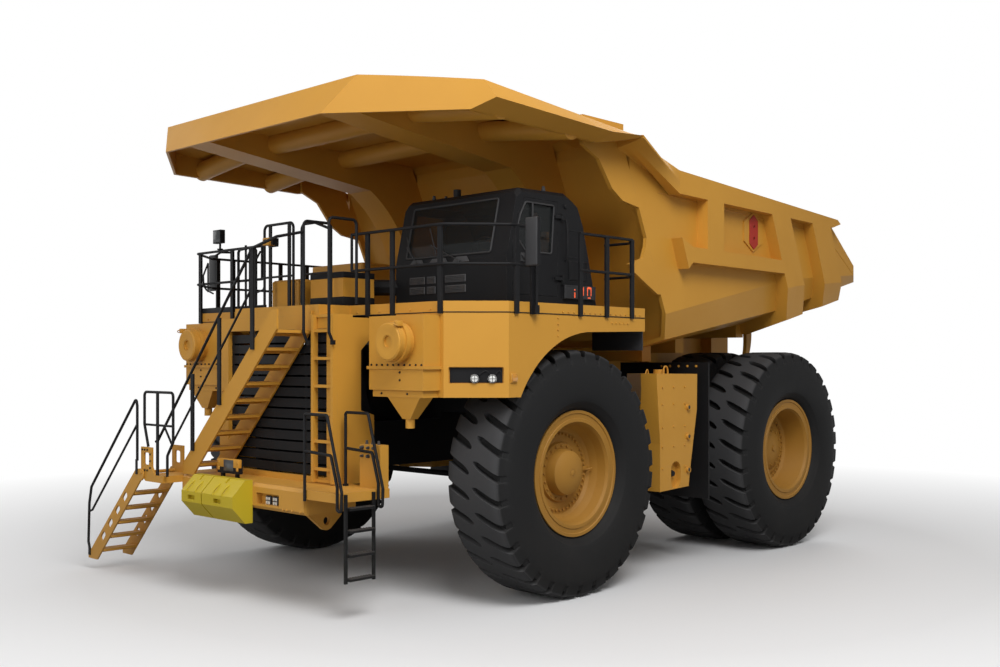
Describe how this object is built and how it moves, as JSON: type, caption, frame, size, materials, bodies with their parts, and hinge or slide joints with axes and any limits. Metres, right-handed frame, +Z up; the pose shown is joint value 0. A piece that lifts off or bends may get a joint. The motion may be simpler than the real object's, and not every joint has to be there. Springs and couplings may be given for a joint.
{
  "type": "mining dump truck",
  "caption": "Rigid-frame mining dump truck with steered front wheels, dual rear wheels, a tipping body with cab canopy, hoist cylinders, cab door and folding boarding stair.",
  "frame": {"origin": "on the floor under the middle of the whole truck", "axes": "+X to the truck's left, -Y forward to its nose, +Z up"},
  "size_m": [7.6, 12.88, 6.83],
  "materials": {
    "yellow_paint": "semi-gloss yellow machine paint",
    "black_paint": "satin black paint",
    "chock_paint": "bright yellow chock paint",
    "tyre": "matt black rubber",
    "glass": "tinted clear glass",
    "seat_cloth": "dark woven seat cloth",
    "bright_rod": "hard chrome plate"
  },
  "bodies": {
    "chassis": {"main_frame": "yellow_paint", "body_pivot_pins": "bright_rod", "deck_supports": "black_paint", "engine_block": "black_paint", "front_bumper": "yellow_paint", "radiator_guard": "yellow_paint", "radiator_grille": "black_paint", "rear_axle_housing": "yellow_paint", "rear_struts": "black_paint", "strut_housings": "black_paint", "fender_left": "yellow_paint", "fender_right": "yellow_paint", "deck_left": "yellow_paint", "deck_right": "yellow_paint", "deck_centre": "yellow_paint", "air_cleaner_left": "yellow_paint", "air_cleaner_right": "yellow_paint", "cab_shell": "black_paint", "cab_glass": "glass", "driver_seat": "seat_cloth", "front_stairs": "yellow_paint", "stair_landing": "yellow_paint", "side_ladder": "yellow_paint", "hydraulic_tank": "yellow_paint", "fuel_tank": "yellow_paint", "tank_mounts": "black_paint", "handrails": "black_paint", "wheel_chocks": "chock_paint", "service_platform": "yellow_paint", "egress_ladder": "black_paint", "deck_boxes": "yellow_paint", "mirrors_lamps": "black_paint"},
    "steering_left": {"knuckle_left": "black_paint"},
    "steering_right": {"knuckle_right": "black_paint"},
    "tie_rod": {"tie_rod": "black_paint"},
    "front_wheel_left": {"tyre_front_left": "tyre", "rim_front_left": "yellow_paint"},
    "front_wheel_right": {"tyre_front_right": "tyre", "rim_front_right": "yellow_paint"},
    "rear_wheels_left": {"tyres_rear_left": "tyre", "rims_rear_left": "yellow_paint"},
    "rear_wheels_right": {"tyres_rear_right": "tyre", "rims_rear_right": "yellow_paint"},
    "dump_body": {"body_shell": "yellow_paint", "body_front_wall": "yellow_paint", "canopy": "yellow_paint", "canopy_beams": "yellow_paint", "body_ribs_left": "yellow_paint", "body_ribs_right": "yellow_paint", "body_frame": "yellow_paint", "rock_ejectors": "yellow_paint"},
    "cab_door": {"cab_door": "black_paint"},
    "boarding_stair": {"boarding_stair": "yellow_paint", "boarding_rail": "black_paint"},
    "hoist_barrel_left": {"hoist_barrel_left": "black_paint"},
    "hoist_stage_left": {"hoist_stage_left": "bright_rod"},
    "hoist_rod_left": {"hoist_rod_left": "bright_rod"},
    "hoist_barrel_right": {"hoist_barrel_right": "black_paint"},
    "hoist_stage_right": {"hoist_stage_right": "bright_rod"},
    "hoist_rod_right": {"hoist_rod_right": "bright_rod"}
  },
  "joints": [
    {"name": "steer_left", "type": "hinge", "parent": "chassis", "child": "steering_left", "pos_m": [1.9, -2.775, 1.71], "axis": [0, 0, 1], "range_deg": [-35, 35]},
    {"name": "steer_right", "type": "hinge", "parent": "chassis", "child": "steering_right", "pos_m": [-1.9, -2.775, 1.71], "axis": [0, 0, 1], "range_deg": [-35, 35]},
    {"name": "tie_rod_pivot", "type": "hinge", "parent": "steering_left", "child": "tie_rod", "pos_m": [1.9, -2.155, 1.44], "axis": [0, 0, 1], "range_deg": [-35, 35]},
    {"name": "front_wheel_left_spin", "type": "hinge", "parent": "steering_left", "child": "front_wheel_left", "pos_m": [2.89, -2.775, 1.71], "axis": [1, 0, 0], "continuous": true},
    {"name": "rear_wheels_left_spin", "type": "hinge", "parent": "chassis", "child": "rear_wheels_left", "pos_m": [2.29, 3.045, 1.71], "axis": [1, 0, 0], "continuous": true},
    {"name": "front_wheel_right_spin", "type": "hinge", "parent": "steering_right", "child": "front_wheel_right", "pos_m": [-2.89, -2.775, 1.71], "axis": [1, 0, 0], "continuous": true},
    {"name": "rear_wheels_right_spin", "type": "hinge", "parent": "chassis", "child": "rear_wheels_right", "pos_m": [-2.29, 3.045, 1.71], "axis": [1, 0, 0], "continuous": true},
    {"name": "body_lift", "type": "hinge", "parent": "chassis", "child": "dump_body", "pos_m": [0, 4.375, 2.9], "axis": [-1, 0, 0], "range_deg": [0, 45]},
    {"name": "hoist_left_tilt", "type": "hinge", "parent": "chassis", "child": "hoist_barrel_left", "pos_m": [1, 1.275, 1.75], "axis": [-1, 0, 0], "range_deg": [-1, 6]},
    {"name": "hoist_left_stage", "type": "slide", "parent": "hoist_barrel_left", "child": "hoist_stage_left", "axis": [0, 0.4229, 0.9062], "range_m": [0, 0.9269]},
    {"name": "hoist_left_rod", "type": "slide", "parent": "hoist_stage_left", "child": "hoist_rod_left", "axis": [0, 0.4229, 0.9062], "range_m": [0, 0.9269]},
    {"name": "hoist_right_tilt", "type": "hinge", "parent": "chassis", "child": "hoist_barrel_right", "pos_m": [-1, 1.275, 1.75], "axis": [-1, 0, 0], "range_deg": [-1, 6]},
    {"name": "hoist_right_stage", "type": "slide", "parent": "hoist_barrel_right", "child": "hoist_stage_right", "axis": [0, 0.4229, 0.9062], "range_m": [0, 0.9269]},
    {"name": "hoist_right_rod", "type": "slide", "parent": "hoist_stage_right", "child": "hoist_rod_right", "axis": [0, 0.4229, 0.9062], "range_m": [0, 0.9269]},
    {"name": "cab_door_swing", "type": "hinge", "parent": "chassis", "child": "cab_door", "pos_m": [3.13, -2.925, 4.8], "axis": [0, 0, 1], "range_deg": [0, 80]},
    {"name": "boarding_stair_lift", "type": "hinge", "parent": "chassis", "child": "boarding_stair", "pos_m": [-2.04, -6.125, 1.62], "axis": [0, 1, 0], "range_deg": [0, 90]}
  ],
  "couplings": [
    {"joint": "steer_right", "follows": "steer_left", "ratio": 1},
    {"joint": "tie_rod_pivot", "follows": "steer_left", "ratio": -1},
    {"joint": "hoist_left_tilt", "follows": "body_lift", "ratio": 0.0679},
    {"joint": "hoist_left_stage", "follows": "body_lift", "m_per_rad": 1.1789},
    {"joint": "hoist_left_rod", "follows": "body_lift", "m_per_rad": 1.1789},
    {"joint": "hoist_right_tilt", "follows": "body_lift", "ratio": 0.0679},
    {"joint": "hoist_right_stage", "follows": "body_lift", "m_per_rad": 1.1789},
    {"joint": "hoist_right_rod", "follows": "body_lift", "m_per_rad": 1.1789}
  ]
}
